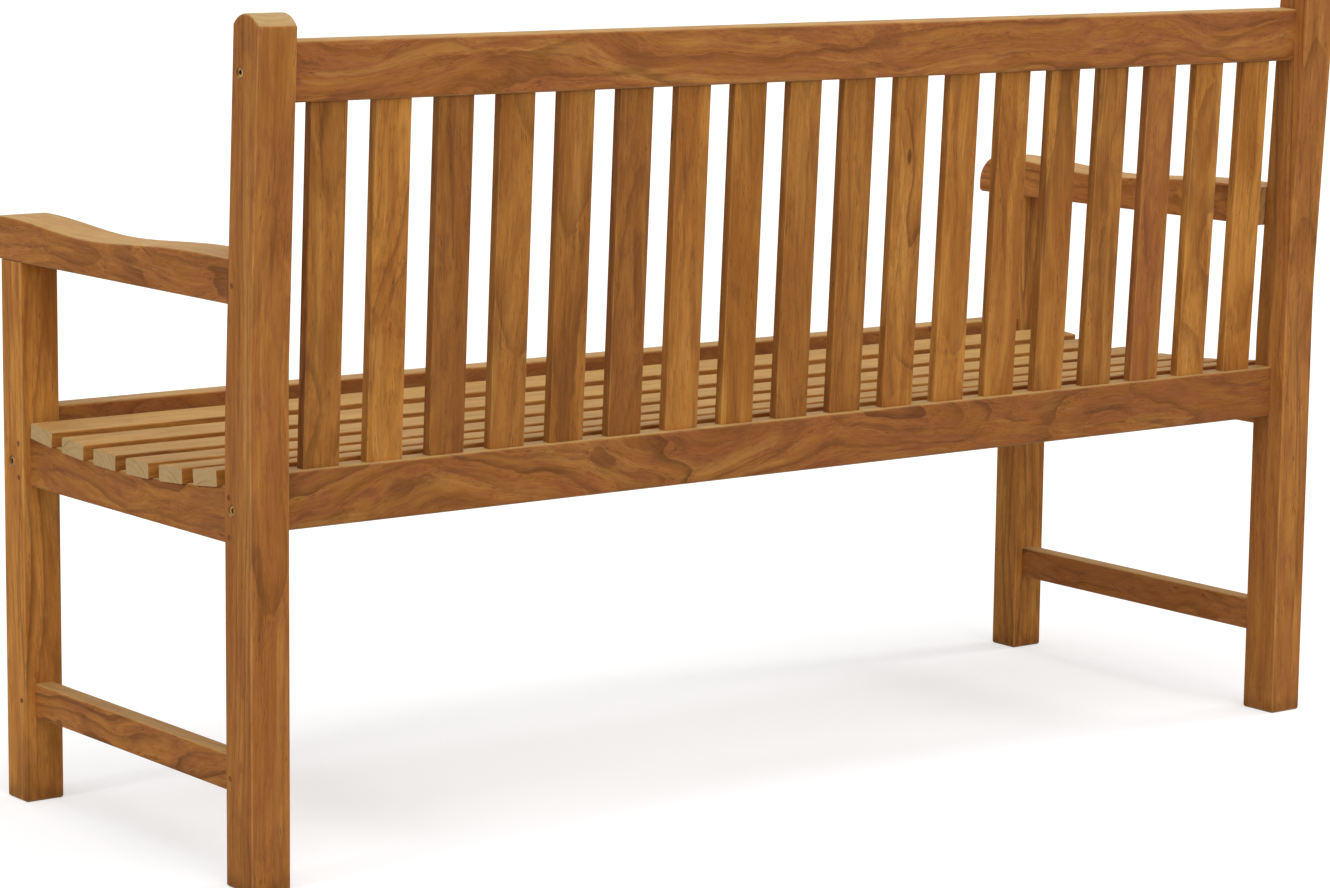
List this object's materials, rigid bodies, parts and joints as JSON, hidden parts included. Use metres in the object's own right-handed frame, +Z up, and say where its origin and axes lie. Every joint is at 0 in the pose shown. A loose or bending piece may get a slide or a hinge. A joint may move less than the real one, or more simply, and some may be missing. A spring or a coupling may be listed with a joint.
{
  "type": "garden bench",
  "caption": "Slatted wooden garden bench with an upright slatted back, flat scooped arms, a dished seat and square legs.",
  "frame": {"origin": "centre of the bench's footprint box, on the ground", "axes": "+X along the bench to the sitter's left, +Y from the front to the back, +Z up"},
  "size_m": [1.5, 0.5612, 0.8835],
  "materials": {
    "teak": "smooth sanded, unfinished golden teak",
    "brass": "satin",
    "steel": "zinc plated"
  },
  "bodies": {
    "root": {"arm_left": "teak", "arm_right": "teak", "back_post_left": "teak", "back_post_right": "teak", "back_slat_01": "teak", "back_slat_02": "teak", "back_slat_03": "teak", "back_slat_04": "teak", "back_slat_05": "teak", "back_slat_06": "teak", "back_slat_07": "teak", "back_slat_08": "teak", "back_slat_09": "teak", "back_slat_10": "teak", "back_slat_11": "teak", "back_slat_12": "teak", "back_slat_13": "teak", "back_slat_14": "teak", "back_slat_15": "teak", "back_slat_16": "teak", "back_slat_17": "teak", "back_slat_18": "teak", "barrel_nuts": "steel", "centre_bearer": "teak", "frame_bolts": "brass", "front_leg_left": "teak", "front_leg_right": "teak", "front_seat_rail": "teak", "joint_pins": "teak", "rear_seat_rail": "teak", "seat_dowels": "teak", "seat_slat_1": "teak", "seat_slat_2": "teak", "seat_slat_3": "teak", "seat_slat_4": "teak", "seat_slat_5": "teak", "seat_slat_6": "teak", "side_rail_left": "teak", "side_rail_right": "teak", "side_stretcher_left": "teak", "side_stretcher_right": "teak", "top_rail": "teak"}
  },
  "joints": []
}
